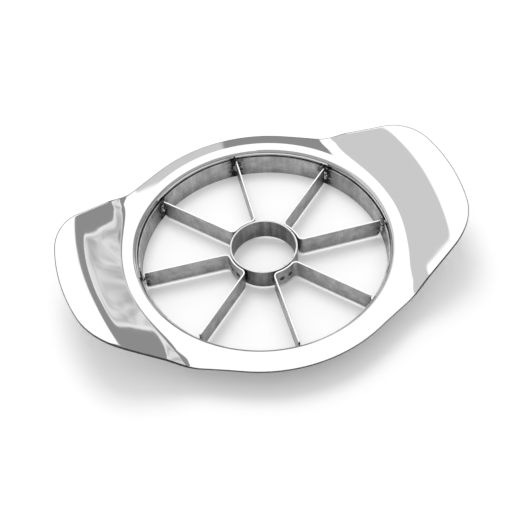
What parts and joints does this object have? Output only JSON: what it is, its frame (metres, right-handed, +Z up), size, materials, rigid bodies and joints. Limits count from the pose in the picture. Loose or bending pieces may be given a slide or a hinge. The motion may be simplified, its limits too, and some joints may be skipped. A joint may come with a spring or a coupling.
{
  "type": "apple slicer",
  "caption": "Hand-pressed apple slicer: a polished steel plate with raised wing handles round a hoop of radial blade strips and a round core cutter.",
  "frame": {"origin": "centre of the hoop's lower edge, which is the face the slicer stands on", "axes": "+X along the length, towards one wing handle; +Y across, towards the back of the waist; +Z up, the way the wings bend and against the push of the hands"},
  "size_m": [0.1444, 0.1078, 0.0217],
  "materials": {
    "polished_steel": "mirror-polished pressed stainless steel",
    "satin_steel": "satin, slightly grainy stainless strip",
    "blade_steel": "rolled stainless strip with a ground lower edge",
    "weld_metal": "rough weld metal with heat tint"
  },
  "bodies": {
    "root": {"frame": "polished_steel", "hoop": "satin_steel", "core_ring": "satin_steel", "blade_strip_1": "blade_steel", "blade_strip_2": "blade_steel", "blade_strip_3": "blade_steel", "blade_strip_4": "blade_steel", "core_welds": "weld_metal", "hoop_welds": "weld_metal", "tab_welds": "weld_metal"}
  },
  "joints": []
}
